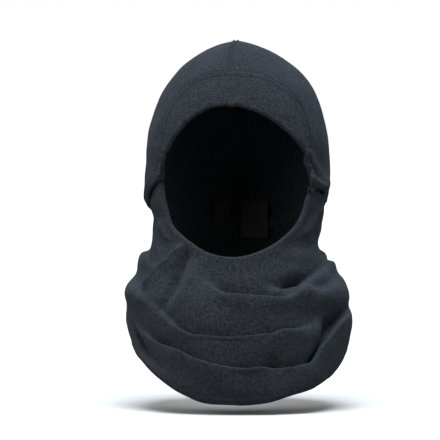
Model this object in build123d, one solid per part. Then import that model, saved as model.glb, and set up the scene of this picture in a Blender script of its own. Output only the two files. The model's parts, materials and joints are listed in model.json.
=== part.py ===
from build123d import *

import os
from math import acos, cos, degrees, radians, sin, sqrt

# A fleece balaclava, as worn. Millimetres, +Z up, the face looks along -Y, the wearer's left is +X.
# The origin is the inner apex of the crown, where the top of the head bears on the cloth.

# Cloth and thread
CLOTH = 3.0                      # thickness of one layer of fleece
BAND = 1.5                       # how far the double brow band stands proud, inside and outside
THREAD_OUT = 0.5                 # how far a row of stitches stands proud of the cloth
THREAD_WIDE = 0.9                # width of a row of stitches
ELASTIC_WIDE = 8.0
ELASTIC_THICK = 1.2
CLEAR = 0.6                      # gap round the sliding face cover

# Crown: each half is part of an ellipsoid whose centre lies past the middle, which makes the ridge
CROWN_SHIFT = 24.0
CROWN_X, CROWN_Y, CROWN_Z = 117.0, 105.0, 120.6
CROWN_BASE = -(CROWN_Z - CLOTH) * sqrt(1 - (CROWN_SHIFT / (CROWN_X - CLOTH)) ** 2)

# Neck of the hood, where the crown's outline has become a plain ellipse
NAPE_Z = -215.0
NAPE_X = 84.5
NAPE_FRONT, NAPE_BACK = -92.0, 75.0

# Face opening, a circle seen from the front, and the arch of the brow seam round it
FACE_Z = -135.0
FACE_R = 75.5
BROW_Z = -110.0                  # centre of the arch
BROW_X, BROW_H = 80.0, 84.0      # half its width, and its height above the centre

# Lower edge of the hood: a plane that falls from the cheeks to the nape
EAR_Y, EAR_Z = -20.0, -147.0
EDGE_FALL = 27.5                 # degrees below level, towards the back
SIDE_SEAM_Y = -8.0

# Cowl: the loose folded cloth round the neck, as (z, half width, front y, back y, wall)
COWL = [
    (NAPE_Z, NAPE_X, NAPE_FRONT, NAPE_BACK, CLOTH),
    (-238.0, 97.0, -101.0, 90.0, 11.0),
    (-262.0, 111.0, -112.0, 104.0, 17.0),
    (-300.0, 113.0, -122.0, 113.0, 18.0),
    (-335.0, 109.0, -122.0, 112.0, 16.0),
    (-372.0, 96.0, -112.0, 103.0, 12.0),
]
HEM_R = 178.7                    # the bottom is arched over the shoulders by a cylinder along X
HEM_Y = 10.0
HEM_TOP = -308.0                 # highest point of that arch
HEM_WIDE = 20.0

# Face cover: the front wall that pulls up over the mouth and nose
COVER_X, COVER_Y = 79.0, 81.0
COVER_CENTRE = -5.0
COVER_SIDE_Z = -150.0            # top of its sides, under the hood's edge
COVER_BOTTOM = -298.0
COVER_HEM = 14.0

BIG = 600.0
parts = {}


def left_half(shape):
    """The part of a shape on the wearer's left."""
    return shape & Pos(BIG / 2, 0, 0) * Box(BIG, 2 * BIG, 2 * BIG)


def crown(grow):
    """Left half of the crown's ellipsoid, grown by that much, above its widest level."""
    ball = scale(Sphere(1), by=(CROWN_X + grow, CROWN_Y + grow, CROWN_Z + grow))
    above = Pos(BIG / 2, 0, CROWN_BASE + BIG / 2) * Box(BIG, BIG, BIG)
    return (Pos(-CROWN_SHIFT, 0, CROWN_BASE) * ball) & above


def half_outline(z, centre_x, centre_y, half_x, half_y):
    """A face at height z: the part of an ellipse at x above 0."""
    angle = degrees(acos(-centre_x / half_x))
    arc = EllipticalCenterArc((centre_x, centre_y), half_x, half_y, -angle, arc_size=2 * angle)
    return Pos(0, 0, z) * make_face(arc + Line(arc @ 1, arc @ 0))


def hood_neck(grow):
    """Left half of the hood's neck, from the crown's widest level to the nape."""
    top = half_outline(CROWN_BASE, -CROWN_SHIFT, 0, CROWN_X + grow, CROWN_Y + grow)
    nape_y = (NAPE_FRONT + NAPE_BACK) / 2
    nape_deep = (NAPE_BACK - NAPE_FRONT) / 2
    bottom = half_outline(NAPE_Z, 0, nape_y, NAPE_X + grow, nape_deep + grow)
    return loft([top, bottom])


def skin(inner, outer):
    """Left half of the hood between two offsets from its outer surface."""
    return (crown(outer) + hood_neck(outer)) - (crown(inner) + hood_neck(inner))


def along_y(outline, front, back):
    """A sketch drawn in x and z, swept from y = front to y = back."""
    return extrude(Plane((0, back, 0), (1, 0, 0), (0, -1, 0)) * outline, back - front)


def face_bore(radius, drop=0.0):
    """What a round face opening of that radius takes out of the front."""
    return along_y(Pos(0, FACE_Z - drop) * Circle(radius), -BIG / 2, 0)


def brow_arch(grow=0.0):
    """The front inside the brow seam: an arch with upright sides."""
    top = Pos(0, BROW_Z) * Ellipse(BROW_X + grow, BROW_H + grow)
    sides = Pos(0, BROW_Z - BIG / 4) * Rectangle(2 * (BROW_X + grow), BIG / 2)
    return along_y(top + sides, -BIG / 2, 0)


def above_edge(lift=0.0):
    """Everything above the hood's lower edge, raised by lift."""
    normal = (0, sin(radians(EDGE_FALL)), cos(radians(EDGE_FALL)))
    edge = Plane((0, EAR_Y, EAR_Z + lift), (1, 0, 0), normal)
    return edge * Pos(0, 0, BIG / 2) * Box(2 * BIG, 2 * BIG, BIG)


def cowl(grow=0.0, inside=0):
    """The cowl's outline as a solid, grown; with inside = 1, the hollow within its wall."""
    rings = []
    for z, half_x, front, back, wall in COWL:
        change = grow - wall * inside
        ring = Ellipse(half_x + change, (back - front) / 2 + change)
        rings.append(Pos(0, (front + back) / 2, z) * ring)
    return loft(rings)


def hem_arch(grow=0.0):
    """The cylinder along X that arches the cowl's bottom over the shoulders."""
    centre = Pos(0, HEM_Y, HEM_TOP - HEM_R)
    return centre * Rot(0, 90, 0) * Cylinder(HEM_R + grow, 2 * BIG)


def front_half():
    """Everything in front of the side seams."""
    return Pos(0, SIDE_SEAM_Y - BIG / 2, 0) * Box(2 * BIG, BIG, 2 * BIG)


def keep(name, *solids):
    """Files solids under a node's name."""
    found = [s for shape in solids for s in shape.solids()]
    parts[name] = found[0] if len(found) == 1 else Compound(children=found)


def mirrored(shape):
    return mirror(shape, about=Plane.YZ)


def make_hood():
    """Two hood panels, joined on the middle plane."""
    panel = (skin(-CLOTH, 0) & above_edge()) - brow_arch()
    keep("hood_panel_left", panel)
    keep("hood_panel_right", mirrored(panel))


def make_brow_band():
    """A double band round the forehead, with elastic running through it from ear to ear."""
    ring = (brow_arch() - face_bore(FACE_R)) & above_edge()
    channel = face_bore(FACE_R + 2 + ELASTIC_WIDE) - face_bore(FACE_R + 2)
    middle = -CLOTH / 2
    strip = skin(middle - ELASTIC_THICK / 2, middle + ELASTIC_THICK / 2)
    elastic = strip & channel & brow_arch(-1) & above_edge(2) & front_half()
    band = (skin(-CLOTH - BAND, BAND) & ring & front_half()) - elastic
    keep("brow_band_left", band)
    keep("brow_band_right", mirrored(band))
    keep("brow_elastic_left", elastic)
    keep("brow_elastic_right", mirrored(elastic))


def make_hood_stitching():
    """Rows of thread: two along the crown seam, one round the brow seam, one on the hood's edge."""
    thread = skin(0, THREAD_OUT)
    beside = 1.8
    slab = Pos(beside, 0, 0) * Box(THREAD_WIDE, 2 * BIG, 2 * BIG)
    crown_row = (thread & slab & above_edge(12)) - brow_arch(6)
    keep("crown_topstitching", crown_row, mirrored(crown_row))
    ring = brow_arch(3 + THREAD_WIDE) - brow_arch(3)
    brow_row = thread & ring & above_edge(6) & front_half()
    keep("brow_seam_stitching", brow_row, mirrored(brow_row))
    lifted = above_edge(8) - above_edge(8 + THREAD_WIDE)
    edge_row = (thread & lifted) - brow_arch(3 + THREAD_WIDE)
    keep("hood_edge_stitching", edge_row, mirrored(edge_row))


def make_crown_seam():
    """The seam allowance inside the crown, bound with overlock thread."""
    tall = 6.0
    thick = 2.2
    ridge = left_half(skin(-CLOTH - tall, -CLOTH) & Box(2 * thick, 2 * BIG, 2 * BIG))
    ridge = (ridge & above_edge(2)) - brow_arch(2)
    keep("crown_seam_overlock", ridge, mirrored(ridge))


def make_neck():
    """The neck cloth: plain above the nape, loose and folded below, in a front and a back panel."""
    upper = skin(-CLOTH, 0)
    upper = (upper + mirrored(upper)) - above_edge() - face_bore(FACE_R + 5)
    wall = cowl() - cowl(inside=1)
    hem = (wall & hem_arch(HEM_WIDE)) - hem_arch()
    whole = upper + (wall - hem_arch(HEM_WIDE))
    front = front_half()
    keep("neck_panel_front", whole & front)
    keep("neck_panel_back", whole - front)
    keep("neck_hem_front", hem & front)
    keep("neck_hem_back", hem - front)
    row = (cowl(THREAD_OUT) - cowl(0.05)) & hem_arch(HEM_WIDE - 2)
    keep("neck_hem_stitching", row - hem_arch(HEM_WIDE - 2 - THREAD_WIDE))


def make_face_cover():
    """The front wall that slides up out of the folds, with a turned hem and elastic in it."""

    def wall(outer, inner):
        shell = Ellipse(COVER_X + outer, COVER_Y + outer) - Ellipse(COVER_X + inner, COVER_Y + inner)
        tall = COVER_SIDE_Z - COVER_BOTTOM
        solid = Pos(0, COVER_CENTRE, COVER_BOTTOM) * extrude(shell, tall)
        return solid & Pos(0, -CLEAR, 0) * front_half()

    hem_zone = face_bore(FACE_R + COVER_HEM) & Pos(0, 0, COVER_SIDE_Z - BIG) * Box(BIG, BIG, 2 * BIG)
    channel = face_bore(FACE_R + 2 + ELASTIC_WIDE) - face_bore(FACE_R + 2)
    middle = -CLOTH / 2
    elastic = wall(middle + ELASTIC_THICK / 2, middle - ELASTIC_THICK / 2) & channel
    hem = (wall(0, -CLOTH - BAND) & hem_zone) - face_bore(FACE_R) - elastic
    keep("face_cover_panel", wall(0, -CLOTH) - face_bore(FACE_R + COVER_HEM))
    keep("face_cover_hem", hem)
    keep("face_cover_elastic", elastic)
    row = wall(CLEAR / 2, 0) & face_bore(FACE_R + COVER_HEM - 1)
    keep("face_cover_stitching", row - face_bore(FACE_R + COVER_HEM - 1 - THREAD_WIDE))


def make_labels():
    """Blank woven labels, sewn flat inside the nape, one on each side of the crown seam."""
    inside = skin(-CLOTH - 0.6, -CLOTH)
    care = Pos(19, BIG / 2, -176) * Box(28, BIG, 40)
    keep("care_label", inside & care)
    size = Pos(14, BIG / 2, -184) * Box(16, BIG, 22)
    keep("size_label", mirrored(inside & size))


make_hood()
make_brow_band()
make_hood_stitching()
make_crown_seam()
make_neck()
make_face_cover()
make_labels()

os.makedirs("parts", exist_ok=True)
for name, shape in parts.items():
    export_step(shape, f"parts/{name}.step")
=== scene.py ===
import json
from math import cos, pi, radians, sin

import bmesh
import bpy
import numpy as np
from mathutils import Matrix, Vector, noise

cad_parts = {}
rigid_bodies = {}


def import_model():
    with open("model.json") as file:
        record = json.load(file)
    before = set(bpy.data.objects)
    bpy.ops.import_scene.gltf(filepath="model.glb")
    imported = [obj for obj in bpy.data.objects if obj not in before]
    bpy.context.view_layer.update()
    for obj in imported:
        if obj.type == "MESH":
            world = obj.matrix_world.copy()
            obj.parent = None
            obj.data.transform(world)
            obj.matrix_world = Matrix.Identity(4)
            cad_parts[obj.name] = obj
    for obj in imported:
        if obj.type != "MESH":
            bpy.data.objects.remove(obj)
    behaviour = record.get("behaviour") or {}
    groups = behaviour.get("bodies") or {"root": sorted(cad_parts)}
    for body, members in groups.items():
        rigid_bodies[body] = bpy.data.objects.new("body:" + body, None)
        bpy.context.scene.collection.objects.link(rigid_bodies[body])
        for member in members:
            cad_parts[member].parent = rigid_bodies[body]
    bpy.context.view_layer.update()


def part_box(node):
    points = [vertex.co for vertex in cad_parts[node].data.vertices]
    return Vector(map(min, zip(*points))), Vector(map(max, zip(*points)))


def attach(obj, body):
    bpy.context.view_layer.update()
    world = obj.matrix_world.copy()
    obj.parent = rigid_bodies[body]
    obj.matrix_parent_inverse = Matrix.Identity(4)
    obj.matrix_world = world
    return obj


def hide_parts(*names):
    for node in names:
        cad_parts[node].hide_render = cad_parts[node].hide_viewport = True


# A fleece balaclava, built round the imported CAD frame. Shapes are worked out in millimetres in the CAD's own
# frame (+Z up, the face looks along -Y, origin at the crown) and written to meshes in metres.

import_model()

MM = 0.001

# ---- driving sizes, mm

CLOTH = 2.8                          # one layer of fleece
HEM = 5.2                            # a turned edge, two layers
LAYER = 2.1                          # one layer of the brow band, pulled thin by the elastic
CHANNEL = 1.2                        # room between the band's layers, where the elastic runs
ELASTIC_WIDE = 8.0                   # in the brow band
hem_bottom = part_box("neck_hem_front")[0].z / MM

STITCH = 3.2                         # from one stitch to the next
STITCH_HALF = 0.43                   # from a stitch's middle to its end, as a share of that
THREAD = 0.42                        # half the thickness of a stitch
THREAD_DIP = 0.35                    # how far a stitch's ends dive into the cloth
THREAD_PROUD = 0.25                  # how far a stitch's middle stands off the cloth
BEAD = [(-1.0, 0.25), (-0.8, 0.85), (0.0, 1.0), (0.8, 0.85), (1.0, 0.25)]   # (place along it, thickness)
BEAD_SIDES = 6
CROWN_ROW = 2.6                      # from the crown seam to each row of stitches beside it
BROW_ROW = 3.0                       # from the brow seam to its stitches
EDGE_ROW = 8.5                       # from the hood's lower edge to its stitches
ALLOWANCE, ALLOWANCE_THICK = 6.0, 2.2
OVERLOCK_STITCH, OVERLOCK_THREAD = 2.5, 0.26
DOUBLE_GAP = 0.001                   # points closer than this are one
SHORTEST_EDGE = 0.0002               # edges shorter than this are taken out

# Hood: a superellipsoid whose two halves are shifted past the middle, which makes the crown's ridge
POWER = 2.2
CENTRE_Z = -115.0                    # widest level
RIDGE_SHIFT = 24.0
SEAM_LEAN = 7.5                      # how far the crown seam leans to the wearer's right at the brow
WIDE_LEFT, WIDE_RIGHT = 93.0, 89.5   # half widths on the wearer's left and right
CROWN_RISE = 122.2
DEPTH = 105.0
EYE = np.array([0.0, 0.0, -128.0])   # the hood's grid fans out from here

# Hood below its widest level: (z, wearer's left, wearer's right, ridge shift, depth in front, depth behind)
HOOD_LOW = [
    (CENTRE_Z, WIDE_LEFT, WIDE_RIGHT, RIDGE_SHIFT, DEPTH, DEPTH),
    (-130, 93.5, 91, 22, 104.5, 103),
    (-145, 92, 91.5, 19, 103.5, 98),
    (-165, 89.5, 90, 15, 102, 91),
    (-200, 87, 87, 8, 98, 80),
    (-240, 86, 86, 6, 96, 78),
]

# Face opening, seen from the front: centre, and radius by angle (0 towards +X, 90 up)
FACE_X, FACE_Z = -2.0, -135.0
FACE_REACH = 110.0                   # further than its edge lies from its centre
FACE_RADIUS = [
    (0, 76.0), (15, 75.0), (30, 73.8), (50, 71.8), (70, 72.4), (90, 75.4), (105, 77.0), (120, 76.2),
    (150, 73.0), (170, 73.0), (188, 71.2), (200, 72.2), (215, 75.2), (230, 73.4), (250, 73.0),
    (270, 72.6), (295, 71.6), (312, 73.0), (328, 75.2), (345, 74.2),
]

# Brow seam: an arch with upright sides
ARCH_X, ARCH_Z = -1.5, -110.0
ARCH_HALF, ARCH_RISE, ARCH_POWER = 73.5, 83.0, 2.3
BAND_LEAST = 4.0                     # the brow band never gets narrower than this

# Lower edge of the hood, from the face to the nape: (y, z)
EDGE_LEFT = [(-70, -139), (-40, -141), (-20, -148), (10, -158), (40, -173), (82, -194)]
EDGE_RIGHT = [(-66, -121), (-56, -128), (-40, -140), (-20, -149), (0, -154), (40, -171), (82, -194)]


# ---- curves and noise

def through(keys, at, period=None):
    """A smooth curve through (place, value) keys, at an array of places. It may repeat with a period."""
    at = np.asarray(at, float)
    keys = sorted(keys)
    if period:
        at = (at - keys[0][0]) % period + keys[0][0]
        before = [(a - period, b) for a, b in keys[-2:]]
        after = [(a + period, b) for a, b in keys[:3]]
        keys = before + keys + after
    x, y = np.array(keys, float).T
    step = np.diff(x)
    rise = np.diff(y) / step
    slope = np.empty_like(y)
    slope[0], slope[-1] = rise[0], rise[-1]
    slope[1:-1] = (rise[:-1] * step[1:] + rise[1:] * step[:-1]) / (step[1:] + step[:-1])
    at = np.clip(at, x[0], x[-1])
    i = np.clip(np.searchsorted(x, at) - 1, 0, len(x) - 2)
    u = (at - x[i]) / step[i]
    return (
        (1 + 2 * u) * (1 - u) ** 2 * y[i]
        + u * (1 - u) ** 2 * step[i] * slope[i]
        + u * u * (3 - 2 * u) * y[i + 1]
        - u * u * (1 - u) * step[i] * slope[i + 1]
    )


def at_height(table, z):
    """Each column of a table whose first one is a height, at heights z."""
    level, *columns = zip(*table)
    return [through(zip(level, c), z) for c in columns]


def compass(turn):
    """Cosine and sine of angles in degrees."""
    return np.cos(np.radians(turn)), np.sin(np.radians(turn))


def xyz(points):
    """The three coordinates of an array of points, each as an array."""
    return points[..., 0], points[..., 1], points[..., 2]


def bump(x):
    """A soft hump of height 1 and half width about 1."""
    return np.exp(-x * x)


def ease(x, low, high):
    """0 below low, 1 above high, smooth between."""
    u = np.clip((x - low) / (high - low), 0, 1)
    return u * u * (3 - 2 * u)


def ripple(points, size, seed):
    """Smooth noise from -1 to 1 at points, in patches of about that size."""
    shape = points.shape[:-1]
    flat = points.reshape(-1, 3) / size + seed * 17.3
    return np.array([noise.noise(Vector(p)) for p in flat]).reshape(shape)


def halve(test, low, high, shape, rounds=36):
    """Where test turns from below 0 to above 0, by bisection, for an array of that shape."""
    low, high = np.full(shape, low), np.full(shape, high)
    for _ in range(rounds):
        middle = (low + high) / 2
        above = test(middle) > 0
        high = np.where(above, middle, high)
        low = np.where(above, low, middle)
    return (low + high) / 2


# ---- lines and grids of points

def unit(vectors):
    """The same directions at length 1."""
    return vectors / np.maximum(np.linalg.norm(vectors, axis=-1, keepdims=True), 1e-9)


def run_along(line):
    """How far along a line each of its points lies."""
    return np.concatenate([[0], np.linalg.norm(np.diff(line, axis=0), axis=1).cumsum()])


def run_down(grid):
    """How far down its column each point of a grid lies."""
    run = np.linalg.norm(np.diff(grid, axis=1), axis=2).cumsum(axis=1)
    return np.concatenate([np.zeros((len(grid), 1)), run], axis=1)


def at_distance(line, run, places):
    """Points of a line at those places along it, where run says how far along its own points lie."""
    return np.stack([np.interp(places, run, values) for values in line.T], axis=-1)


def across_at(grid, distance):
    """Points at that distance down each column of a grid."""
    return np.array([at_distance(line, run, distance) for line, run in zip(grid, run_down(grid))])


def even_out(grid, count):
    """Each column's points again, evenly spaced along it."""
    columns = zip(grid, run_down(grid))
    return np.stack([at_distance(line, run, np.linspace(0, run[-1], count)) for line, run in columns])


def soften(grid, rounds, axis=1, wrap=False):
    """Rounds off a grid's sharp bends along one axis, with its ends held."""
    lines = np.moveaxis(grid, axis, 0).copy()
    for _ in range(rounds):
        if wrap:
            lines = (np.roll(lines, 1, axis=0) + 2 * lines + np.roll(lines, -1, axis=0)) / 4
        else:
            lines[1:-1] = (lines[:-2] + 2 * lines[1:-1] + lines[2:]) / 4
    return np.moveaxis(lines, 0, axis)


def crowded(first, last, count, centres, strength, width):
    """Numbers from first to last, closer together near the centres."""
    fine = np.linspace(first, last, 6000)
    crowd = 1 + sum(strength * bump((fine - c) / width) for c in centres)
    total = np.concatenate([[0], np.cumsum((crowd[1:] + crowd[:-1]) / 2)])
    return np.interp(np.linspace(0, total[-1], count), total, fine)


def normals_of(grid, wrap=False):
    """Outward normals of a grid whose first axis runs anticlockwise seen from above, and second axis down."""
    if wrap:
        du = np.roll(grid, -1, axis=0) - np.roll(grid, 1, axis=0)
    else:
        du = np.gradient(grid, axis=0)
    dv = np.gradient(grid, axis=1)
    across = np.cross(dv, du)
    n = unit(across)
    if np.abs(across[:, 0]).max() < 1e-6:
        n[:, 0] = unit(n[:, 1].mean(axis=0))
    return n


def edge_direction(line, normal, inner):
    """Across an edge of the cloth and away from it, in its surface."""
    out = unit(np.cross(np.gradient(line, axis=0), normal))
    return out * np.sign(np.sum(out * (line - inner)))


def turn_over(edge, normal, way, radius, count):
    """Lines of points that take an edge round a half turn, out along way and back."""
    turns = [pi * (k + 1) / (count + 1) for k in range(count)]
    return [edge + (normal * cos(a) + way * sin(a)) * radius for a in turns]


# ---- meshes

def cloth(name, grid, thick, material, normal=None, start_rim=True, rim_steps=6):
    """A closed piece of cloth of that thickness about a grid. Its edges are rounded at each column's ends."""
    nu, nv = grid.shape[:2]
    thick = np.broadcast_to(thick, (nu, nv))
    n = normals_of(grid) if normal is None else normal
    half = thick[..., None] / 2
    outer, inner = grid + n * half, grid - n * half

    def rim(column, beside, sign):
        edge, side = grid[:, column], n[:, column]
        way = edge_direction(edge, side, grid[:, beside])
        return np.stack(turn_over(edge, sign * side, way, half[:, column], rim_steps), axis=1)

    loop = [outer, rim(-1, -2, 1), inner[:, ::-1]]
    if start_rim:
        loop.append(rim(0, 1, -1))
    ring = np.concatenate(loop, axis=1)
    count = ring.shape[1]
    index = np.arange(nu * count).reshape(nu, count)
    after = np.roll(index, -1, axis=1)
    quads = np.stack([index[:-1], after[:-1], after[1:], index[1:]], axis=-1)
    if not start_rim:
        quads = quads[:, :-1]
    faces = quads.reshape(-1, 4).tolist()
    faces += cap(index[0], nv, rim_steps, start_rim, False)
    faces += cap(index[-1], nv, rim_steps, start_rim, True)
    finish_mesh(name, ring.reshape(-1, 3), faces, material)


def cap(line, nv, rim_steps, start_rim, flip):
    """Faces that close the cloth along its first or last line."""
    inner = line[nv + rim_steps:2 * nv + rim_steps][::-1]
    faces = [[line[j], inner[j], inner[j + 1], line[j + 1]] for j in range(nv - 1)]
    faces.append([line[nv - 1], inner[nv - 1], *line[nv:nv + rim_steps][::-1]])
    if start_rim:
        faces.append([line[0], *line[2 * nv + rim_steps:][::-1], inner[0]])
    if flip:
        faces = [f[::-1] for f in faces]
    return [[int(v) for v in f] for f in faces]


def tube_faces(count, sides, first=0):
    """Faces of a closed tube of that many rings."""
    faces = []
    for j in range(count - 1):
        for k in range(sides):
            m = (k + 1) % sides
            a, c = first + j * sides, first + (j + 1) * sides
            faces.append([a + k, a + m, c + m, c + k])
    faces.append([first + k for k in range(sides)][::-1])
    faces.append([first + (count - 1) * sides + k for k in range(sides)])
    return faces


def stitches(name, rows, material):
    """Rows of stitches, each stitch a small rounded bead of thread. A row is a pair: points and normals."""
    points, faces = [], []
    for path, normal in rows:
        run = run_along(path)
        places = np.arange(STITCH / 2, run[-1] - STITCH / 2, STITCH)
        spots, normals = at_distance(path, run, places), at_distance(normal, run, places)
        for spot, d, n in zip(spots, unit(np.gradient(spots, axis=0)), unit(normals)):
            b = np.cross(d, n)
            faces += tube_faces(len(BEAD), BEAD_SIDES, len(points))
            for along, size in BEAD:
                middle = spot + d * along * STITCH * STITCH_HALF
                middle = middle + n * (THREAD_PROUD - THREAD_DIP * abs(along) ** 3)
                for k in range(BEAD_SIDES):
                    a = 2 * pi * k / BEAD_SIDES
                    points.append(middle + (n * sin(a) + b * cos(a)) * THREAD * size)
    finish_mesh(name, points, faces, material)


def thread_runs(name, runs, radius, material):
    """Long threads: a round tube along each line of points."""
    sides = 5
    turns = [2 * pi * k / sides for k in range(sides)]
    points, faces = [], []
    for run in runs:
        way = unit(np.gradient(run, axis=0))
        side = unit(np.cross(way, [0.31, 0.47, 0.83]))
        faces += tube_faces(len(run), sides, len(points))
        for p, s, o in zip(run, side, np.cross(way, side)):
            points += [p + radius * (s * cos(a) + o * sin(a)) for a in turns]
    finish_mesh(name, points, faces, material)


def placed(name, data):
    """A new object in the scene."""
    obj = bpy.data.objects.new(name, data)
    bpy.context.scene.collection.objects.link(obj)
    return obj


def finish_mesh(name, points, faces, material):
    """Makes an object from points in millimetres, with doubled points joined."""
    mesh = bpy.data.meshes.new(name)
    mesh.from_pydata((np.asarray(points) * MM).tolist(), [], faces)
    mesh.validate()
    placed(name, mesh)
    work = bmesh.new()
    work.from_mesh(mesh)
    bmesh.ops.remove_doubles(work, verts=work.verts, dist=DOUBLE_GAP * MM)
    bmesh.ops.dissolve_degenerate(work, edges=work.edges, dist=SHORTEST_EDGE * MM)
    bmesh.ops.recalc_face_normals(work, faces=work.faces)
    work.to_mesh(mesh)
    work.free()
    mesh.shade_smooth()
    mesh.materials.append(material)


# ---- the hood's shape

def hood_measure(p):
    """Below 1 inside the hood's outer surface, above 1 outside it."""
    x, y, z = xyz(p)
    low_left, low_right, low_shift, low_front, low_back = at_height(HOOD_LOW, z)
    above = z > CENTRE_Z
    wide = np.where(above, np.where(x > 0, WIDE_LEFT, WIDE_RIGHT), np.where(x > 0, low_left, low_right))
    shift = np.where(above, RIDGE_SHIFT, low_shift)
    deep = np.where(above, DEPTH, np.where(y < 0, low_front, low_back))
    rise = np.where(above, (z - CENTRE_Z) / CROWN_RISE, 0)
    across = (np.abs(x) + shift) / (wide + shift)
    return across ** POWER + np.abs(y / deep) ** POWER + np.abs(rise) ** POWER


def hood_point(turn, tilt):
    """Points of the hood's outer surface, seen from EYE. turn goes round the Y axis and 90 is up; tilt 0 is
    straight back."""
    across, up = compass(turn)
    back, out = compass(tilt)
    way = np.stack([out * across, back, out * up], axis=-1)
    reach = halve(lambda r: hood_measure(EYE + r[..., None] * way) - 1, 5.0, 260.0, turn.shape, 30)
    return EYE + reach[..., None] * way


def hood_outward(p):
    """Outward directions of the plain hood, from the slope of its measure, which is even across the ridge."""
    return unit(np.stack([hood_measure(p + step) - hood_measure(p - step) for step in np.eye(3)], axis=-1))


def face_angle(x, z):
    """Angle round the face opening and distance from its centre."""
    return np.degrees(np.arctan2(z - FACE_Z, x - FACE_X)), np.hypot(x - FACE_X, z - FACE_Z)


def face_radius(angle):
    """Radius of the face opening, with the gathers on the wearer's left and the notch over the nose."""
    around = (np.asarray(angle) + 360) % 360
    waves = bump((around - 4) / 20) * 1.3 * np.cos(np.radians((around - 8) * 24))
    waves += bump((around - 364) / 20) * 1.3 * np.cos(np.radians((around - 368) * 24))
    notch = -1.8 * bump((around - 92.5) / 1.6)
    return through(FACE_RADIUS, around, 360) + waves + notch


def past_face(x, z):
    """How far outside the face opening a place in the front view lies."""
    angle, reach = face_angle(x, z)
    return reach - face_radius(angle)


def seam_radius(angle):
    """Distance of the brow seam from the face opening's centre."""
    across, up = compass(angle)

    def outside(r):
        x, z = FACE_X + r * across - ARCH_X, FACE_Z + r * up - ARCH_Z
        side = np.abs(x / ARCH_HALF) ** ARCH_POWER
        return side + np.where(z > 0, np.abs(z / ARCH_RISE) ** ARCH_POWER, 0) - 1

    arch = halve(outside, 10.0, 140.0, across.shape)
    least = face_radius(angle) + BAND_LEAST
    mix = ease(arch - least, -4, 6)
    return np.where(arch > least + 6, arch, least * (1 - mix) + np.maximum(arch, least) * mix)


def edge_height(x, y):
    """Height of the hood's lower edge."""
    side = ease(x, -30, 30)
    return through(EDGE_LEFT, y) * side + through(EDGE_RIGHT, y) * (1 - side)


def past_hood(p):
    """Above 0 beyond the hood panels' edge: inside the brow seam, or under the lower edge."""
    x, y, z = xyz(p)
    angle, reach = face_angle(x, z)
    in_front = np.where(y < -20, seam_radius(angle) - reach, -1)
    return np.maximum(in_front, edge_height(x, y) - z)


def line_distance(x, z, line):
    """Signed distance from a line of points in the front view, and how far along it, from 0 to 1."""
    pts = np.array(line, float)
    runs = np.diff(pts, axis=0)
    lengths = np.linalg.norm(runs, axis=1)
    total = lengths.sum()
    best, sign, place = np.full(x.shape, 1e9), np.ones(x.shape), np.zeros(x.shape)
    done = 0.0
    for (px, pz), (rx, rz), length in zip(pts, runs, lengths):
        k = ((x - px) * rx + (z - pz) * rz) / length ** 2
        first = done == 0.0
        last = done + length > total - 1e-6
        c = np.clip(k, -9 if first else 0, 9 if last else 1)
        gap = np.hypot(x - px - c * rx, z - pz - c * rz)
        side = np.sign(rx * (z - pz) - rz * (x - px))
        near = gap < best
        best = np.where(near, gap, best)
        sign = np.where(near, side, sign)
        place = np.where(near, (done + k * length) / total, place)
        done += length
    return best * np.where(sign == 0, 1, sign), place


def soft_folds(grid, folds, front):
    """How far out the soft folds of a list move the cloth, where front is 1."""
    x, z = grid[..., 0], grid[..., 2]
    move = np.zeros(x.shape)
    for line, height, left, right in folds:
        gap, place = line_distance(x, z, line)
        width = np.where(gap > 0, left, right)
        ends = ease(place, -0.2, 0.22) * (1 - ease(place, 0.78, 1.2))
        move += height * bump(gap / width) * ends
    return move * front


# Soft folds of the hood in the front view: (points, height, half width on its left, on its right)
HOOD_FOLDS = [
    ([(-74, -70), (-80, -88), (-83, -110), (-87, -134)], 1.4, 3.0, 6.0),
    ([(70, -48), (76, -74), (84, -94), (88, -118)], 1.5, 6.0, 3.0),
    ([(64, -92), (71, -105), (79, -118), (87, -132)], 1.8, 3.4, 3.4),
    ([(60, -99), (68, -102), (75, -101)], -1.8, 2.0, 2.0),
    ([(66, -108), (73, -118), (80, -128), (84, -136)], -1.9, 2.8, 2.8),
    ([(66, -117), (72, -122), (78, -122)], -1.6, 1.9, 1.9),
    ([(68, -124), (76, -131), (84, -138), (90, -142)], 2.0, 2.8, 2.8),
    ([(55, -42), (66, -62), (74, -86), (78, -100)], 1.3, 4.0, 2.4),
]


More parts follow.
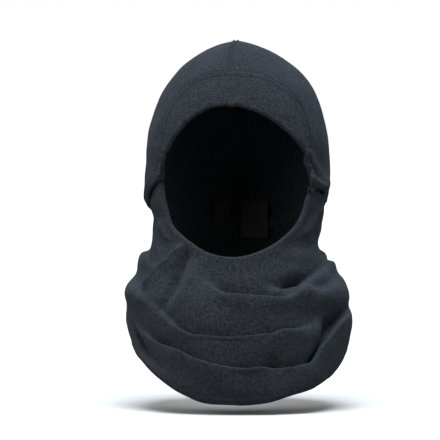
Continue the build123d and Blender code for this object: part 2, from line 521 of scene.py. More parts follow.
def shape_hood(grid, edge_gap):
    """Adds the ridge of the crown seam, the soft folds and the loose lower edge to the hood's surface."""
    x, y, z = xyz(grid)
    front = ease(-y, 5, 30)
    left, right = ease(x, 60, 84), 1 - ease(x, 0, 20)
    side = ease(np.abs(x), 60, 84)
    low = bump(edge_gap / 22) * ease(-z, 100, 135)
    # the welt along the crown seam, with the seam's groove in it
    move = (0.9 + 0.4 * ease(-y, 20, 60)) * bump(x / 2.4) - 1.7 * bump(x / 0.7)
    move += soft_folds(grid, HOOD_FOLDS, front)
    # the lower edge stands off a little, most on the wearer's right, and turns in at its very end
    move += 1.4 * low * side * right + 0.4 * low
    move -= 2.4 * bump(edge_gap / 7) * ease(-z, 135, 150) * side
    move += 1.2 * bump(edge_gap / 9) * np.sin(0.16 * y) * side * low
    # the gathers at the wearer's left ear, with a hollow above them
    move += 3.0 * bump((x - 92) / 14) * bump((z + 137) / 7) * front
    move -= 1.8 * bump((z + 118) / 14) * left * front
    # a fuller crown on the wearer's left
    move += 2.4 * bump((z + 38) / 26) * ease(x, 20, 60) * ease(-y, -60, 0)
    # slow unevenness, and finer near the lower edge
    move += (1.2 - 0.7 * ease(z, -95, -20)) * ripple(grid, 44, 1) + 0.45 * ripple(grid, 16, 2)
    move += 0.9 * low * ripple(grid, 11, 3)
    made = grid + hood_outward(grid) * move[..., None]
    # the crown seam leans to the wearer's right over the brow
    made[..., 0] -= SEAM_LEAN * ease(-y, 0, 75) * ease(z, -90, -35) * bump(x / 42)
    made[:, 0] = made[:, 0].mean(axis=0)
    return made


class Hood:
    """The hood's grid: its columns fan out from the back, and end at the brow seam or the lower edge."""

    HALF = 200                       # columns in each panel
    ROWS = 140

    def __init__(self):
        half = crowded(-90, 90, self.HALF, [-90, 90], 5, 4)
        turn = np.concatenate([half[:-1], half[:-1] + 180])
        reach = halve(lambda t: past_hood(hood_point(turn, t)), 20.0, 160.0, turn.shape, 22)
        tilt = reach[:, None] * np.linspace(0, 1, self.ROWS)[None, :]
        plain = hood_point(np.broadcast_to(turn[:, None], tilt.shape), tilt)
        gap = run_down(plain[:, ::-1])[:, ::-1]
        self.surface = shape_hood(plain, gap)
        self.normal = -normals_of(self.surface, wrap=True)
        end = plain[:, -1:]
        self.brow = (end[..., 1] < -30) & (end[..., 2] > edge_height(end[..., 0], end[..., 1]) + 1)
        hem = np.where(self.brow, CLOTH + 0.6, HEM)
        self.thick = CLOTH + (hem - CLOTH) * (1 - ease(gap, 8, 11))
        around = np.arange(2 * self.HALF - 1) % (2 * self.HALF - 2)
        self.left, self.right = around[:self.HALF], around[self.HALF - 1:]

    def panels(self, material):
        """The two hood panels, which meet in the crown seam."""
        middle = self.surface - self.normal * self.thick[..., None] / 2
        for name, columns in [("hood_left", self.left), ("hood_right", self.right)]:
            cloth(name, middle[columns], self.thick[columns], material, self.normal[columns], start_rim=False)

    def beside_seam(self, column, step, distance, keep):
        """A line on the outside at that distance from the crown seam, for the rows in keep."""
        order = (column + step * np.arange(30)) % len(self.surface)
        lines = self.surface[order][:, keep].swapaxes(0, 1)
        return across_at(lines, distance), self.normal[column, keep]

    def topstitching(self, material):
        """A row of stitches on each side of the crown seam, from the brow over the crown to the nape."""
        rows = []
        for step in (1, -1):
            for column, keep in [(self.HALF - 1, slice(8, -2)), (0, slice(8, -6))]:
                rows.append(self.beside_seam(column, step, CROWN_ROW, keep))
        stitches("crown_stitches", rows, material)

    def edge_rows(self, brow, distance):
        """Lines on the outside at that distance from the brow seam, or from the lower edge."""
        rows = []
        for columns in (self.left, self.right):
            chosen = columns[self.brow[columns, 0] == brow]
            line = across_at(self.surface[chosen][:, ::-1], distance)
            normal = self.normal[chosen, -4]
            jumps = np.where(np.linalg.norm(np.diff(line, axis=0), axis=1) > 12)[0] + 1
            for part in np.split(np.arange(len(chosen)), jumps):
                if len(part) > 4:
                    rows.append((line[part], normal[part]))
        return rows

    def overlock(self, fleece, thread):
        """The seam's allowance, which stands inside along the crown, with its overlock thread."""
        inside = self.surface - self.normal * (self.thick[..., None] + 0.1)

        def on_seam(grid):
            return np.concatenate([grid[self.HALF - 1, ::-1][2:-1], grid[0][1:-5]])

        line, normal = on_seam(inside), on_seam(self.normal)
        run = run_along(line)
        lay = 0.9 * np.sin(run / 23) + 1.4
        side = np.array([1.0, 0, 0])
        steps = 6
        rows = []
        for k in range(steps + 1):
            deep = k / steps
            rows.append(line - normal * ALLOWANCE * deep + side * (lay * deep)[:, None])
        cloth("crown_allowance", np.stack(rows, axis=1), ALLOWANCE_THICK, fleece)
        places = np.arange(2, run[-1] - 2, 0.5)
        along = at_distance(rows[-1] - normal * 1.3, run, places)
        back = at_distance(normal, run, places)
        beat = places * 2 * pi / OVERLOCK_STITCH
        up = 3.6 * np.sin(beat / 2) ** 2
        loops = []
        for sign in (1, -1):
            out = sign * (0.25 + 1.15 * np.cos(beat / 2) ** 2)
            loops.append(along + side * out[:, None] + back * up[:, None])
        loops.append(along + back * 0.1)
        thread_runs("crown_overlock", loops, OVERLOCK_THREAD, thread)


def front_depth(x, z):
    """y of the hood's outer surface in front, at those places in the front view."""
    return -halve(lambda d: hood_measure(np.stack([x, -d, z], axis=-1)) - 1, 0.0, 120.0, x.shape)


def band_surface(angle, radius, inside, outside):
    """Outer surface of the brow band at those angles and radii, with its puckers and the crown seam's end."""
    across, up = compass(angle[:, None])
    x, z = FACE_X + radius * across, FACE_Z + radius * up
    grid = np.stack([x, front_depth(x, z), z], axis=-1)
    to_face = radius - inside[:, None]
    to_seam = outside[:, None] - radius
    centre = x + SEAM_LEAN
    # thin over the elastic, sunk at the brow seam, and swollen just beside it
    move = 1.4 - 1.2 * bump(to_face / 9) - 1.0 * bump(to_seam / 1.5) + 1.3 * bump((to_seam - 2.4) / 1.3)
    # puckers of the elastic, strongest at the wearer's left ear
    gathered = 0.9 * (0.25 + 1.0 * bump((angle[:, None] - 4) / 24))
    pucker = np.sin(np.radians(angle * 21)) + 0.6 * np.sin(np.radians(angle * 34 + 50))
    move += gathered * pucker[:, None] * bump((to_face - 3) / 8)
    # the end of the crown seam
    move += 0.9 * bump(centre / 2.4) - 1.2 * bump(centre / 0.7)
    move += 0.8 * soft_folds(grid, HOOD_FOLDS, 1) + 0.5 * ripple(grid, 18, 4)
    return grid + normals_of(grid) * move[..., None]


def make_brow_band(material, elastic_material):
    """The double brow band: out from the seam to the face, round the elastic and back inside."""
    for side, first, last in [("left", 92.5, -7.0), ("right", 175.0, 92.5)]:
        angle = np.linspace(first, last, 150)
        slim = 1 - 0.6 * np.maximum(ease(angle, 163, 175), ease(-angle, -5, 7))
        fold = (LAYER + CHANNEL / 2) * slim
        inside, outside = face_radius(angle) + fold, seam_radius(angle) + 0.4
        fold, layer = fold[:, None, None], LAYER * slim
        radius = outside[:, None] + (inside - outside)[:, None] * np.linspace(0, 1, 26)[None, :]
        outer = band_surface(angle, radius, inside, outside)
        n = normals_of(outer)
        deep = layer[:, None, None] / 2
        lining = (outer - n * (2 * fold - deep))[:, ::-1]
        way = edge_direction(outer[:, -1], n[:, -1], outer[:, -2])
        turn = turn_over(outer[:, -1] - n[:, -1] * fold[:, 0], n[:, -1], way, (fold - deep)[:, 0], 7)
        grid = np.concatenate([outer - n * deep, np.stack(turn, axis=1), lining], axis=1)
        cloth("band_" + side, grid, layer[:, None], material)
        wide = np.minimum(ELASTIC_WIDE, outside - inside - 1)
        radius = inside[:, None] + 0.5 + wide[:, None] * np.linspace(1, 0, 9)[None, :]
        strip = band_surface(angle, radius, inside, outside)
        strip = strip - normals_of(strip) * fold
        ribs = 0.8 + 0.2 * np.sin(angle * 9)[:, None]
        cloth("band_elastic_" + side, strip, ribs, elastic_material)


# ---- the neck cloth

# The neck cloth without its folds: (z, half width on the wearer's right, left, depth in front, behind)
NECK = [
    (-95, 84, 85, 92, 96),
    (-130, 85, 86, 95, 95),
    (-150, 86.5, 87, 95, 90),
    (-158, 86, 87, 95, 87),
    (-165, 85.4, 86.8, 94, 84),
    (-173, 84.6, 86.2, 93, 81),
    (-182, 84, 85.5, 92, 78),
    (-200, 86, 84.5, 90, 75),
    (-207, 90, 91, 90, 76),
    (-214, 96, 93.5, 91, 79),
    (-224, 100, 98.5, 95, 86),
    (-236, 106.5, 109.5, 101, 94),
    (-247, 112, 116, 107, 99),
    (-262, 108.5, 109, 111, 103),
    (-280, 107, 113, 116, 106),
    (-296, 103.5, 111.5, 118, 107),
    (-312, 103, 108.7, 120, 107),
    (-330, 99, 104.5, 119, 106),
    (-350, 90, 95, 115, 103),
    (-372, 84, 88, 110, 100),
]
NECK_POWER = 2.2
NECK_ROUND = 88.0                    # mean radius of its upper edge
# Bottom of the cowl by azimuth (-90 in front)
COWL_BOTTOM = [
    (-95, -351), (-74, -348.5), (-63, -342.7), (-53, -338.2), (-45, -334.3), (-36, -329), (-28, -324),
    (-13, -314), (0, -307), (45, -318), (90, -332), (135, -318), (180, -301), (199, -306), (210, -311),
    (221, -321.5), (232, -332), (244, -343), (251, -348.5),
]
CURL = 7.5                           # radius of the roll at the bottom
RETURN = 30.0                        # how far the hem runs back up inside
HEM_EXTRA = 0.6                      # how much thicker the hem is than the cloth
SEAM_LEFT, SEAM_RIGHT = 6.0, 174.0   # azimuths of the side seams
TUCK = 18.0                          # how far the neck cloth runs up under the hood


def neck_radius(turn, z):
    """Distance of the plain neck cloth from the Z axis."""
    right, left, front, back = at_height(NECK, z)
    c, s = compass(turn)
    wide = np.where(c < 0, right, left)
    deep = np.where(s < 0, front, back)
    return (np.abs(c / wide) ** NECK_POWER + np.abs(s / deep) ** NECK_POWER) ** (-1 / NECK_POWER)


def azimuth(x, z):
    """Azimuth, from -90 to 270, of a place of the neck cloth in the front view."""
    right, left, front, _ = at_height(NECK, z)
    wide = right if x < 0 else left
    x = float(np.clip(x, -0.999 * wide, 0.999 * wide))
    y = -front * (1 - abs(x / wide) ** NECK_POWER) ** (1 / NECK_POWER)
    return float((np.degrees(np.arctan2(y, x)) + 450) % 360 - 90)


class Fold:
    """A pocket fold round the neck: the cloth dives behind a rim and comes back out over it.

    front holds (x, z, strength, gape) in the front view, and behind (azimuth, z, strength, gape) for the
    rest. A gape of 0 is left out.
    """

    def __init__(self, front, behind, wide, lap, pocket, rim, swell, undercut):
        keys = [(azimuth(x, z), z, *rest, 0) for x, z, *rest in front]
        keys += [((a + 450) % 360 - 90, z, *rest, 0) for a, z, *rest in behind]
        self.height, self.strength, self.gape = ([(key[0], key[k]) for key in keys] for k in (1, 2, 3))
        self.wide, self.lap, self.pocket, self.rim = wide, lap, pocket, rim
        self.swell, self.undercut = swell, undercut

    def moves(self, turn, z):
        """How far out and how far up the fold moves the cloth."""
        above = z - through(self.height, turn, 360)
        k = np.clip(through(self.strength, turn, 360), 0, 1.4)
        gape = np.clip(through(self.gape, turn, 360), 0, 2)
        u = above / (self.wide * (1 + 0.35 * gape))
        over = 1 / (1 + np.exp(-2.2 * u))
        out = self.rim * bump((u + 1.2) / 1.2) - self.pocket * (0.3 + gape) * bump((u - 0.8) / 0.9)
        out += self.swell * np.exp(-np.abs(above) / 22) * (1 - over)
        out -= self.undercut * np.exp(-np.abs(above) / 14) * over
        up = -self.lap / 2 * u * np.exp(0.5 - u * u / 2)
        return k * out, k ** 1.5 * up


NECK_FOLDS = [
    # the top of the cowl at the sides and round the nape
    Fold([(-60, -222, 0), (60, -226, 0), (0, -226, 0)],
         [(-20, -207, 0.4), (0, -205, 0.6), (45, -206, 0.7), (90, -212, 0.9, 0.2), (135, -208, 0.9),
          (180, -206, 0.7), (192, -205, 0.7), (205, -210, 0.8, 0.5), (212, -216, 0.7, 0.4), (219, -220, 0.3)],
         wide=4.2, lap=12, pocket=3.5, rim=2, swell=2, undercut=1),
    # a small fold high on the wearer's left
    Fold([(22, -236, 0), (33, -237, 0.4, 0.1), (45, -237.5, 0.8, 0.35), (56, -237, 1.1, 1.1),
          (65, -236, 1.15, 1.5), (73, -231, 1, 0.7), (80, -226, 0.8, 0.2), (87, -221, 0.7, 0.1),
          (90, -216, 0.7)],
         [(0, -216, 0.7), (30, -219, 0.6), (90, -229, 0.5), (150, -224, 0), (220, -226, 0)],
         wide=4.2, lap=18, pocket=6.8, rim=2.5, swell=3, undercut=5),
    # the upper crease
    Fold([(-44, -226, 0), (-32, -231, 0.15), (-22, -237, 0.45), (-14, -242, 0.85, 0.1),
          (-4, -247, 1.2, 0.4), (11, -250.5, 1.35, 0.4), (28, -251, 1.25, 0.2), (44, -250, 1.05, 0.1),
          (60, -247, 0.8), (77, -243, 0.6), (95, -237, 0.4)],
         [(0, -229, 0.2), (45, -238, 0), (180, -238, 0)],
         wide=4.5, lap=17, pocket=7, rim=1.5, swell=2.5, undercut=8),
    # its faint end on the wearer's right
    Fold([(-66, -254, 0), (-52, -255, 0.3), (-36, -255, 0.32), (-20, -256, 0.15), (-8, -256, 0)],
         [(0, -256, 0), (90, -256, 0), (180, -256, 0)],
         wide=4, lap=6, pocket=3, rim=1.5, swell=1, undercut=2),
    # the middle crease
    Fold([(-107, -234, 0.3), (-100, -239, 0.35), (-92.7, -247, 0.35), (-80, -257, 0.35), (-64, -271, 0.62),
          (-55, -278, 0.8), (-47, -283.5, 0.95), (-40, -287, 1.05), (-21, -289.5, 1.1), (-1, -290, 1.1),
          (20, -289, 1.1), (36, -285.5, 1.1), (50, -281.5, 0.95), (62, -278, 0.65), (73, -274.5, 0.4),
          (84, -270, 0.3), (95, -264, 0.25), (104, -258, 0.25), (110, -254, 0.25)],
         [(0, -252, 0.3), (20, -251, 0.5), (45, -248, 0.6), (90, -251, 0.8, 0.2), (135, -243, 0.7),
          (180, -233, 0.25)],
         wide=7, lap=26, pocket=5, rim=2, swell=6.5, undercut=9),
    # the lower crease
    Fold([(-108, -259, 0.2), (-103, -269, 0.25), (-98, -277, 0.3, 0.1), (-90, -283, 0.45, 0.1),
          (-80, -290, 0.7, 0.2), (-70, -297, 0.95, 0.4), (-60, -302, 1.1, 0.4), (-45, -310, 1.15, 0.3),
          (-29, -317, 1.15, 0.1), (-13, -321, 1.15), (3.5, -323, 1.15), (25, -323, 1.25, 0.5),
          (34.5, -323, 1.3, 1.9), (45, -322, 1.2, 0.9), (60, -319, 1.1, 0.5), (71, -315.5, 1.1, 0.6),
          (77, -309, 1.1, 1.3), (81, -300.5, 1.1, 0.9), (87, -293.5, 1.1, 1.2), (93, -286, 1.1, 1.8),
          (99, -278, 1.05, 1.3), (105, -268, 0.8, 0.5), (109.5, -260.5, 0.5, 0.1)],
         [(0, -258, 0.35), (30, -269, 0.8), (60, -281, 1, 0.2), (90, -288, 1.1, 0.4), (135, -275, 0.8),
          (180, -258, 0.25)],
         wide=7, lap=27, pocket=6, rim=2, swell=7, undercut=9),
    # a last fold low on the wearer's right
    Fold([(-108, -266, 0.4, 0.3), (-104, -277, 0.65, 0.6), (-99, -288, 0.8, 1.2), (-92, -301, 0.75, 1.3),
          (-83, -311, 0.6, 0.6), (-71, -319, 0.45, 0.1), (-58, -325, 0.4), (-46, -330, 0.3), (-30, -333, 0),
          (40, -334, 0)],
         [(0, -300, 0), (45, -310, 0.3), (90, -318, 0.7), (150, -292, 0.7), (180, -268, 0.35)],
         wide=4.5, lap=12, pocket=5, rim=1.2, swell=3, undercut=2.5),
]

# Soft folds of the neck cloth in the front view: (points, height, half width on its left, on its right)
NECK_RIDGES = [
    ([(-49, -193), (-59, -206), (-67, -215), (-76, -222), (-83, -231), (-90, -243)], 4.5, 7.0, 3.0),
    ([(-50, -191), (-60, -205), (-68, -214), (-77, -221), (-84, -230), (-91, -242)], 2.4, 1.6, 1.4),
    ([(-87, -205), (-86, -216), (-86, -228), (-89, -238)], 1.6, 2.0, 3.0),
    ([(-49, -197), (-50, -208), (-55, -221), (-60, -233), (-66, -244), (-70, -255)], -7.0, 5.0, 4.5),
    ([(-31, -207), (-41, -222), (-50, -236), (-60, -248)], 1.4, 6.0, 4.5),
    ([(-77, -173), (-70, -187.4), (-65, -192)], 2.2, 2.6, 3.6),
    ([(83, -159), (77, -172), (69, -187)], 3.2, 4.5, 3.0),
    ([(84, -170), (80, -184), (75, -198)], -2.4, 4.0, 4.0),
    ([(76, -163), (69, -174), (60, -186)], -1.6, 4.0, 5.0),
    ([(88, -143), (76, -144), (70, -146)], -2.2, 3.0, 3.0),
]


def neck_top(turn):
    """Height of the neck cloth's upper edge: the face opening in front, up under the hood elsewhere."""
    c, s = compass(turn)

    def in_face(z):
        return past_face(neck_radius(turn, z) * c, z) - HEM / 2

    meets = (in_face(np.full(turn.shape, FACE_Z)) < 0) & (s < -0.3)
    drop = halve(lambda d: in_face(FACE_Z - d), 0.0, FACE_REACH, turn.shape, 24)
    r = neck_radius(turn, np.full(turn.shape, -150.0))
    return np.where(meets, FACE_Z - drop, edge_height(r * c, r * s) + TUCK)


def spread(turn, top, radius, count):
    """Columns evenly spaced along an upper edge: azimuths and heights there, and even azimuths for below."""
    run = np.concatenate([[0], np.hypot(np.diff(np.radians(turn)) * radius, np.diff(top)).cumsum()])
    share = np.linspace(0, 1, count)
    low = turn[0] + (turn[-1] - turn[0]) * share
    return np.interp(share * run[-1], run, turn), np.interp(share * run[-1], run, top), low


class Neck:
    """The neck cloth as one grid, from its upper edge over the folds, round the bottom and up inside."""

    COLUMNS = 600
    ROWS = 250

    def __init__(self):
        turn = np.linspace(-90, 270, 7201)
        above, top, below = (a[:-1] for a in spread(turn, neck_top(turn), NECK_ROUND, self.COLUMNS + 1))
        bottom = through(COWL_BOTTOM, below, 360)
        down = np.linspace(0, 1, self.ROWS)[None, :]
        z = top[:, None] + (bottom + CURL - top)[:, None] * down
        t = above[:, None] + (below - above)[:, None] * ease(down, 0, 0.8)
        self.turn = below
        out, up = np.zeros_like(z), np.zeros_like(z)
        for fold in NECK_FOLDS:
            more_out, more_up = fold.moves(t, z)
            out += more_out
            up += more_up
        # the upper edge and the bottom stay where they are
        hold = ease(top[:, None] - z, 0, 14) * ease(down, 0, 0.06)
        end = 1 - ease(down, 0.93, 1)
        out, up = out * hold, up * hold * end
        c, s = compass(t)
        r = neck_radius(t, z) + out
        grid = np.stack([r * c, r * s, z + up], axis=-1)
        # cloth bends round a fold's rim, most gently behind
        grid = even_out(soften(grid, 4), self.ROWS)
        grid = even_out(soften(grid, 7), self.ROWS)
        grid = soften(grid, 3, axis=0, wrap=True)
        behind = ease(grid[..., 1:2], -55, -15)
        grid = grid * (1 - behind) + even_out(soften(grid, 26), self.ROWS) * behind
        grid = self.unevenness(grid)
        self.surface = self.curl_under(grid, t[:, -1])
        self.normal = normals_of(self.surface, wrap=True)
        self.thick = CLOTH + (HEM - CLOTH) * (1 - ease(run_down(self.surface), 8, 11))

    @staticmethod
    def unevenness(grid):
        """Adds the soft folds that run down from the chin, and slow unevenness."""
        n = normals_of(grid, wrap=True)
        hold = ease(np.arange(grid.shape[1]), 0, 18) * 0.75 + 0.25
        move = soft_folds(grid, NECK_RIDGES, ease(-grid[..., 1], 5, 28)) * hold
        # a dimple on the wearer's right, under the hood's edge
        move -= 2.6 * bump((grid[..., 2] + 171) / 8) * ease(-grid[..., 0], 68, 80)
        move += (1.3 * ripple(grid * [1, 1, 1.6], 46, 5) + 0.6 * ripple(grid * [1, 1, 1.5], 17, 6)) * hold
        return grid + n * move[..., None]

    @staticmethod
    def curl_under(grid, turn):
        """Adds the roll round the bottom of the cowl and the cloth that runs back up inside it."""
        end = grid[:, -1]
        c, s = compass(turn)
        inward = np.stack([-c, -s, np.zeros_like(c)], axis=-1)
        steps = 14
        turns = [pi * k / steps for k in range(1, steps + 1)]
        rows = [end + inward * CURL * (1 - cos(a)) + np.array([0, 0, -CURL * sin(a)]) for a in turns]
        rows += [rows[-1] + np.array([0, 0, RETURN * a / pi]) + inward * 1.5 * sin(a) for a in turns]
        return np.concatenate([grid, np.stack(rows, axis=1)], axis=1)

    def panels(self, material):
        """Front and back panels of the neck cloth and their hems, which meet in seams at the sides."""
        seam = bump((self.turn - SEAM_LEFT) / 1.3) + bump((self.turn - SEAM_RIGHT) / 1.3)
        middle = self.surface + self.normal * (0.8 * seam[:, None] - self.thick / 2)[..., None]
        hem_from = self.ROWS + 3
        left, right = (int(np.argmin(np.abs(self.turn - seam))) for seam in (SEAM_LEFT, SEAM_RIGHT))
        around = np.arange(len(self.turn))
        front = np.concatenate([around[right:], around[:left + 1]])
        above, below = slice(hem_from + 1), slice(hem_from, None)
        for side, columns in [("front", front), ("back", around[left:right + 1])]:
            for piece, rows, extra in [("neck_", above, 0), ("hem_", below, HEM_EXTRA)]:
                grid, n, thick = (part[columns][:, rows] for part in (middle, self.normal, self.thick))
                cloth(piece + side, grid, thick + extra, material, n)

    def hem_stitches(self, material):
        """One row of stitches right round, inside, near the end of the hem."""
        row = self.ROWS + 20
        normal = self.normal[:, row]
        line = self.surface[:, row] + normal * HEM_EXTRA
        closed = np.concatenate([line, line[:1]]), np.concatenate([normal, normal[:1]])
        stitches("hem_stitches", [closed], material)


# ---- the face cover

COVER_WIDE, COVER_DEEP, COVER_Y = 77.0, 78.5, -5.0
COVER_SIDE_TOP, COVER_BOTTOM = -151.0, -297.0
COVER_BELOW_EDGE = 5.0               # how far its edge lies under the visible one
COVER_HEM = 14.0
COVER_LAYER = 1.5                    # one layer of its hem, pulled thin by the elastic
COVER_COLUMNS, COVER_ROWS = 220, 110


def make_cover(material, elastic_material, thread):
    """The spare inner length of the neck cloth's front, whose hem pulls up over the mouth and nose."""
    turn = np.linspace(-177.0, -3.0, 3000)
    x = COVER_WIDE * compass(turn)[0]
    drop = halve(lambda d: past_face(x, FACE_Z - d) - COVER_BELOW_EDGE, 0.0, FACE_REACH, x.shape, 24)
    top = np.minimum(FACE_Z - drop, COVER_SIDE_TOP)
    above, high, below = spread(turn, top, COVER_WIDE, COVER_COLUMNS)
    down = np.linspace(0, 1, COVER_ROWS)[None, :]
    z = high[:, None] + (COVER_BOTTOM - high)[:, None] * down
    t = above[:, None] + (below - above)[:, None] * ease(down, 0, 0.8)
    c, s = compass(t)
    plain = np.stack([COVER_WIDE * c, COVER_Y + COVER_DEEP * s, z], axis=-1)
    # below the hem it lies in slack waves
    slack = ease(high[:, None] - z, 14, 40)
    wave = np.sin(z / 5.2 + 1.3 * compass(t * 3)[1])
    move = (0.9 * wave + 0.8 * ripple(plain, 30, 7)) * slack
    surface = plain + normals_of(plain) * move[..., None]
    n = normals_of(surface)
    split = int(np.argmax(np.median(run_down(surface), axis=0) > COVER_HEM))
    cloth("cover_panel", (surface - n * CLOTH / 2)[:, split:], CLOTH, material, n[:, split:])
    # the hem goes up outside, over the elastic and down inside
    fold, deep = COVER_LAYER + CHANNEL / 2, COVER_LAYER / 2
    way = edge_direction(surface[:, 0], n[:, 0], surface[:, 1])
    turn = turn_over(surface[:, 0] - n[:, 0] * fold, n[:, 0], way, fold - deep, 7)
    outer = (surface - n * deep)[:, split::-1]
    lining = (surface - n * (2 * fold - deep))[:, :split + 1]
    grid = np.concatenate([outer, np.stack(turn, axis=1), lining], axis=1)
    cloth("cover_hem", grid[::-1], COVER_LAYER, material)
    strip = slice(1, split - 2)
    cloth("cover_elastic", (surface - n * fold)[:, strip], 0.8, elastic_material, n[:, strip])
    line = across_at(surface, COVER_HEM - 1.5)
    stitches("cover_stitches", [(line, n[:, split])], thread)


# ---- labels

LABEL_TOP = -156.0


def make_label(name, x_from, x_to, length, material, hood):
    """A blank woven label, sewn inside the nape by its top edge and hanging down."""
    x = np.linspace(x_from, x_to, 15)
    behind = hood.surface[:, 1:-1].reshape(-1, 3)
    behind = behind[behind[:, 1] > 40]
    rows = []
    for share in np.linspace(0, 1, 18):
        z = np.full(x.shape, LABEL_TOP - length * share)
        gap = np.hypot(behind[None, :, 0] - x[:, None], behind[None, :, 2] - z[:, None])
        y = behind[gap.argmin(axis=1), 1] - CLOTH - 7 - 5 * share
        rows.append(np.stack([x, y + 0.8 * np.sin(share * 5 + x / 6), z], axis=1))
    grid = np.stack(rows, axis=1)
    for _ in range(3):
        grid[1:-1, :, 1] = (grid[:-2, :, 1] + grid[1:-1, :, 1] + grid[2:, :, 1]) / 3
        grid[:, 1:-1, 1] = (grid[:, :-2, 1] + grid[:, 1:-1, 1] + grid[:, 2:, 1]) / 3
    cloth(name, grid[::-1], 0.5, material, rim_steps=3)


# ---- materials

def put(node, values):
    """Sets a node's inputs, by name."""
    for name, value in values.items():
        node.inputs[name].default_value = value


class Finish:
    """A node material in the making. Its textures lie in the object's own space."""

    def __init__(self, name, rough, specular):
        self.material = bpy.data.materials.new(name)
        self.material.use_nodes = True
        self.nodes, self.links = self.material.node_tree.nodes, self.material.node_tree.links
        self.shader = self.nodes["Principled BSDF"]
        put(self.shader, {"Roughness": rough, "Specular IOR Level": specular})

    def texture(self, node, values):
        """The factor of a texture node, with those values in its inputs."""
        put(node, values)
        place = self.nodes.new("ShaderNodeTexCoord")
        self.links.new(place.outputs["Object"], node.inputs["Vector"])
        return node.outputs["Fac"]

    def noise(self, scale, detail, rough=0.6):
        node = self.nodes.new("ShaderNodeTexNoise")
        return self.texture(node, {"Scale": scale, "Detail": detail, "Roughness": rough})

    def bands(self, direction, scale):
        """A wave texture across X or Z."""
        node = self.nodes.new("ShaderNodeTexWave")
        node.bands_direction = direction
        return self.texture(node, {"Scale": scale, "Distortion": 0.6})

    def scaled(self, value, share, rest=0.0):
        """value times share plus rest, where rest is a number or another socket."""
        node = self.nodes.new("ShaderNodeMath")
        node.operation = "MULTIPLY_ADD"
        self.links.new(value, node.inputs[0])
        node.inputs[1].default_value = share
        if isinstance(rest, float):
            node.inputs[2].default_value = rest
        else:
            self.links.new(rest, node.inputs[2])
        return node.outputs[0]

    def tint(self, share, dark, light):
        """Base colour from dark to light by a share."""
        ramp = self.nodes.new("ShaderNodeMix")
        ramp.data_type = "RGBA"
        ramp.clamp_factor = True
        ramp.inputs[6].default_value = (*dark, 1)
        ramp.inputs[7].default_value = (*light, 1)
        self.links.new(share, ramp.inputs[0])
        self.links.new(ramp.outputs[2], self.shader.inputs["Base Color"])

    def relief(self, height, strength, distance):
        """Bumps of that height, where distance is in metres."""
        node = self.nodes.new("ShaderNodeBump")
        put(node, {"Strength": strength, "Distance": distance})
        self.links.new(height, node.inputs["Height"])
        self.links.new(node.outputs["Normal"], self.shader.inputs["Normal"])


def fleece(name, dark, light):
    """Brushed fleece: short matted pile, uneven in colour, with a faint lustre at grazing angles."""
    made = Finish(name, 0.95, 0.12)
    put(made.shader, {"Sheen Weight": 0.12, "Sheen Roughness": 0.7, "Sheen Tint": (0.6, 0.75, 1.0, 1.0)})
    fibre, pile = made.noise(2600, 3, 0.7), made.noise(1000, 4, 0.75)
    clumps, patches = made.noise(420, 3), made.noise(40, 2)
    height = made.scaled(pile, 0.8, made.scaled(clumps, 0.7, made.scaled(fibre, 0.3)))
    shade = made.scaled(clumps, 1.3, made.scaled(height, 1.2, -1.53))
    made.tint(made.scaled(patches, 0.3, shade), dark, light)
    made.relief(height, 0.85, 0.0022)
    return made.material


def yarn(name, dark, light):
    """Spun thread: fine twisted relief along a matt strand."""
    made = Finish(name, 0.7, 0.3)
    twist = made.noise(1500, 2)
    made.tint(twist, dark, light)
    made.relief(twist, 0.5, 0.0003)
    return made.material


def woven(name, dark, light, size, rough):
    """A close plain weave, for elastic and for ribbon labels."""
    made = Finish(name, rough, 0.35)
    weave = made.scaled(made.bands("X", size), 0.5, made.scaled(made.bands("Z", size), 0.5))
    made.tint(weave, dark, light)
    made.relief(weave, 0.4, 0.0003)
    return made.material


# ---- stage, light and camera

def make_stage():
    """A plain pale floor under the cowl."""
    half, z = 30, hem_bottom * MM - 0.001
    mesh = bpy.data.meshes.new("floor")
    corners = [(-half, -half, z), (half, -half, z), (half, half, z), (-half, half, z)]
    mesh.from_pydata(corners, [], [(0, 1, 2, 3)])
    pale = Finish("floor", 0.9, 0.2)
    seen = pale.nodes.new("ShaderNodeLightPath").outputs["Is Camera Ray"]
    pale.tint(seen, (0.2, 0.2, 0.2), (0.88, 0.88, 0.87))
    mesh.materials.append(pale.material)
    placed("floor", mesh)


def soft_sun(name, toward, strength, spread_angle, colour=(1, 1, 1)):
    """A broad light that comes from the direction toward."""
    data = bpy.data.lights.new(name, "SUN")
    data.energy = strength
    data.angle = radians(spread_angle)
    data.color = colour
    placed(name, data).rotation_euler = Vector(toward).to_track_quat("Z", "Y").to_euler()


def make_lights():
    """Soft studio light, mostly from above and a little in front, before a white backdrop."""
    world = bpy.data.worlds.new("studio")
    bpy.context.scene.world = world
    world.use_nodes = True
    nodes, links = world.node_tree.nodes, world.node_tree.links
    room = nodes["Background"]
    put(room, {"Color": (1.0, 0.99, 0.98, 1), "Strength": 0.1})
    backdrop = nodes.new("ShaderNodeBackground")
    put(backdrop, {"Color": (1, 1, 1, 1)})
    seen = nodes.new("ShaderNodeLightPath")
    mix = nodes.new("ShaderNodeMixShader")
    links.new(seen.outputs["Is Camera Ray"], mix.inputs[0])
    links.new(room.outputs[0], mix.inputs[1])
    links.new(backdrop.outputs[0], mix.inputs[2])
    links.new(mix.outputs[0], nodes["World Output"].inputs["Surface"])
    soft_sun("top", (0.0, -0.36, 1.0), 3.8, 40, (0.86, 0.95, 1.04))
    soft_sun("front_left", (-1.0, -0.8, 0.4), 0.95, 50, (1.0, 0.98, 0.95))
    soft_sun("front_right", (1.0, -0.9, 0.4), 0.55, 50, (1.0, 0.98, 0.95))
    soft_sun("rear", (0.0, 1.0, 0.6), 0.8, 60)


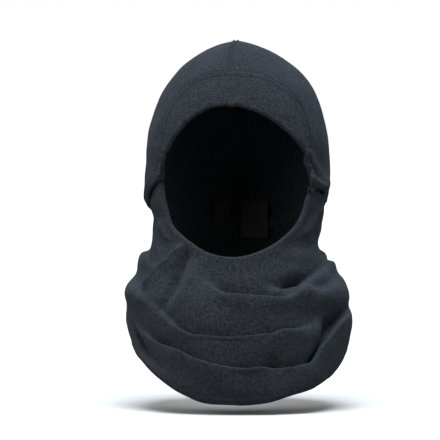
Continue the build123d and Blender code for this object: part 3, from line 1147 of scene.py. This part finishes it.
def make_camera():
    """Square to the face, level with the object's middle, and far enough to flatten perspective."""
    distance, sensor, view_width = 4.0, 36.0, 0.440
    rise = radians(1.5)
    aim = Vector((-0.016, 0, -0.174))
    data = bpy.data.cameras.new("camera")
    data.sensor_width = sensor
    data.lens = sensor * distance / view_width
    camera = placed("camera", data)
    back = Vector((0, -cos(rise), sin(rise)))
    camera.location = aim + back * distance
    camera.rotation_euler = (-back).to_track_quat("-Z", "Y").to_euler()
    bpy.context.scene.camera = camera
    bpy.context.scene.view_settings.view_transform = "Standard"


# ---- putting it together

make_camera()
make_lights()
make_stage()

slate = fleece("slate_fleece", (0.0064, 0.0070, 0.0070), (0.0505, 0.0555, 0.0555))
sewing = yarn("sewing_thread", (0.012, 0.015, 0.018), (0.032, 0.04, 0.047))
webbing = woven("elastic_webbing", (0.012, 0.014, 0.016), (0.03, 0.034, 0.038), 900, 0.8)
ribbon = woven("label_ribbon", (0.018, 0.019, 0.02), (0.034, 0.036, 0.038), 700, 0.5)

hood = Hood()
hood.panels(slate)
make_brow_band(slate, webbing)
hood.overlock(slate, sewing)
hood.topstitching(sewing)
stitches("brow_stitches", hood.edge_rows(True, BROW_ROW), sewing)
stitches("edge_stitches", hood.edge_rows(False, EDGE_ROW), sewing)
neck = Neck()
neck.panels(slate)
neck.hem_stitches(sewing)
make_cover(slate, webbing, sewing)
make_label("care", 5, 33, 38, ribbon, hood)
make_label("size", -22, -6, 22, ribbon, hood)

# Each piece and the CAD node that it stands for, by the body that it rides on and the slot of its finish
PIECES = {
    ("hood", "fleece"): {
        "hood_left": "hood_panel_left",
        "hood_right": "hood_panel_right",
        "band_left": "brow_band_left",
        "band_right": "brow_band_right",
        "crown_allowance": "crown_seam_overlock",
        "neck_front": "neck_panel_front",
        "neck_back": "neck_panel_back",
        "hem_front": "neck_hem_front",
        "hem_back": "neck_hem_back",
    },
    ("hood", "elastic"): {
        "band_elastic_left": "brow_elastic_left",
        "band_elastic_right": "brow_elastic_right",
    },
    ("hood", "seam_thread"): {
        "crown_overlock": "crown_seam_overlock",
        "crown_stitches": "crown_topstitching",
        "brow_stitches": "brow_seam_stitching",
        "edge_stitches": "hood_edge_stitching",
        "hem_stitches": "neck_hem_stitching",
    },
    ("hood", "woven_label"): {"care": "care_label", "size": "size_label"},
    ("face_cover", "fleece"): {"cover_panel": "face_cover_panel", "cover_hem": "face_cover_hem"},
    ("face_cover", "elastic"): {"cover_elastic": "face_cover_elastic"},
    ("face_cover", "seam_thread"): {"cover_stitches": "face_cover_stitching"},
}
made = bpy.data.objects
for (body, slot), pieces in PIECES.items():
    for name, node in pieces.items():
        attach(made[name], body)
        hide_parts(node)
